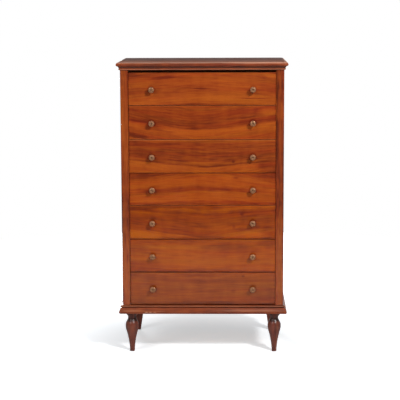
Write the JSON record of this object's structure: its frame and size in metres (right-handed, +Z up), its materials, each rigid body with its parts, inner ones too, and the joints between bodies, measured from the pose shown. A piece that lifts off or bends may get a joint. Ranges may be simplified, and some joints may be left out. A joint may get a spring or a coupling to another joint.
{
  "type": "semainier",
  "caption": "Tall narrow chest of stacked full-width drawers with small round brass knobs, moulded top and base, turned front legs and square tapered back legs.",
  "frame": {"origin": "on the floor under the middle of the chest's whole box, knobs included", "axes": "+Z up, the tallest extent; +Y to the back, the shortest extent; +X to the right of someone who faces the drawers"},
  "size_m": [0.8, 0.497, 1.388],
  "materials": {
    "top_veneer": "polished dark walnut-stained veneer",
    "moulding_wood": "polished red-brown hardwood",
    "stile_wood": "polished red-brown hardwood, upright grain",
    "side_veneer": "polished red-brown veneer, upright grain",
    "base_wood": "polished red-brown hardwood",
    "leg_wood": "dark stained and polished",
    "drawer_front_veneer": "polished orange-red walnut veneer, level grain",
    "drawer_lining": "waxed pale secondary wood",
    "drawer_plywood": "bare thin plywood",
    "back_plywood": "bare plywood",
    "inner_wood": "bare secondary wood",
    "runner_hardwood": "waxed hardwood",
    "aged_brass": "aged brass, patina in the dish"
  },
  "bodies": {
    "case": {"top_board": "top_veneer", "cornice_bead": "moulding_wood", "left_stile": "stile_wood", "right_stile": "stile_wood", "left_side_panel": "side_veneer", "right_side_panel": "side_veneer", "back_panel": "back_plywood", "front_top_rail": "inner_wood", "back_top_rail": "inner_wood", "drawer_runners": "runner_hardwood", "bottom_board": "inner_wood", "base_frame": "base_wood", "base_moulding": "moulding_wood", "leg_blocks": "inner_wood", "front_left_leg": "leg_wood", "front_right_leg": "leg_wood", "back_left_leg": "leg_wood", "back_right_leg": "leg_wood"},
    "drawer_1": {"drawer_1_front": "drawer_front_veneer", "drawer_1_left_side": "drawer_lining", "drawer_1_right_side": "drawer_lining", "drawer_1_back": "drawer_lining", "drawer_1_bottom": "drawer_plywood", "drawer_1_knobs": "aged_brass"},
    "drawer_2": {"drawer_2_front": "drawer_front_veneer", "drawer_2_left_side": "drawer_lining", "drawer_2_right_side": "drawer_lining", "drawer_2_back": "drawer_lining", "drawer_2_bottom": "drawer_plywood", "drawer_2_knobs": "aged_brass"},
    "drawer_3": {"drawer_3_front": "drawer_front_veneer", "drawer_3_left_side": "drawer_lining", "drawer_3_right_side": "drawer_lining", "drawer_3_back": "drawer_lining", "drawer_3_bottom": "drawer_plywood", "drawer_3_knobs": "aged_brass"},
    "drawer_4": {"drawer_4_front": "drawer_front_veneer", "drawer_4_left_side": "drawer_lining", "drawer_4_right_side": "drawer_lining", "drawer_4_back": "drawer_lining", "drawer_4_bottom": "drawer_plywood", "drawer_4_knobs": "aged_brass"},
    "drawer_5": {"drawer_5_front": "drawer_front_veneer", "drawer_5_left_side": "drawer_lining", "drawer_5_right_side": "drawer_lining", "drawer_5_back": "drawer_lining", "drawer_5_bottom": "drawer_plywood", "drawer_5_knobs": "aged_brass"},
    "drawer_6": {"drawer_6_front": "drawer_front_veneer", "drawer_6_left_side": "drawer_lining", "drawer_6_right_side": "drawer_lining", "drawer_6_back": "drawer_lining", "drawer_6_bottom": "drawer_plywood", "drawer_6_knobs": "aged_brass"},
    "drawer_7": {"drawer_7_front": "drawer_front_veneer", "drawer_7_left_side": "drawer_lining", "drawer_7_right_side": "drawer_lining", "drawer_7_back": "drawer_lining", "drawer_7_bottom": "drawer_plywood", "drawer_7_knobs": "aged_brass"}
  },
  "joints": [
    {"name": "drawer_1_slide", "type": "slide", "parent": "case", "child": "drawer_1", "axis": [0, -1, 0], "range_m": [0, 0.33]},
    {"name": "drawer_2_slide", "type": "slide", "parent": "case", "child": "drawer_2", "axis": [0, -1, 0], "range_m": [0, 0.33]},
    {"name": "drawer_3_slide", "type": "slide", "parent": "case", "child": "drawer_3", "axis": [0, -1, 0], "range_m": [0, 0.33]},
    {"name": "drawer_4_slide", "type": "slide", "parent": "case", "child": "drawer_4", "axis": [0, -1, 0], "range_m": [0, 0.33]},
    {"name": "drawer_5_slide", "type": "slide", "parent": "case", "child": "drawer_5", "axis": [0, -1, 0], "range_m": [0, 0.33]},
    {"name": "drawer_6_slide", "type": "slide", "parent": "case", "child": "drawer_6", "axis": [0, -1, 0], "range_m": [0, 0.33]},
    {"name": "drawer_7_slide", "type": "slide", "parent": "case", "child": "drawer_7", "axis": [0, -1, 0], "range_m": [0, 0.33]}
  ]
}
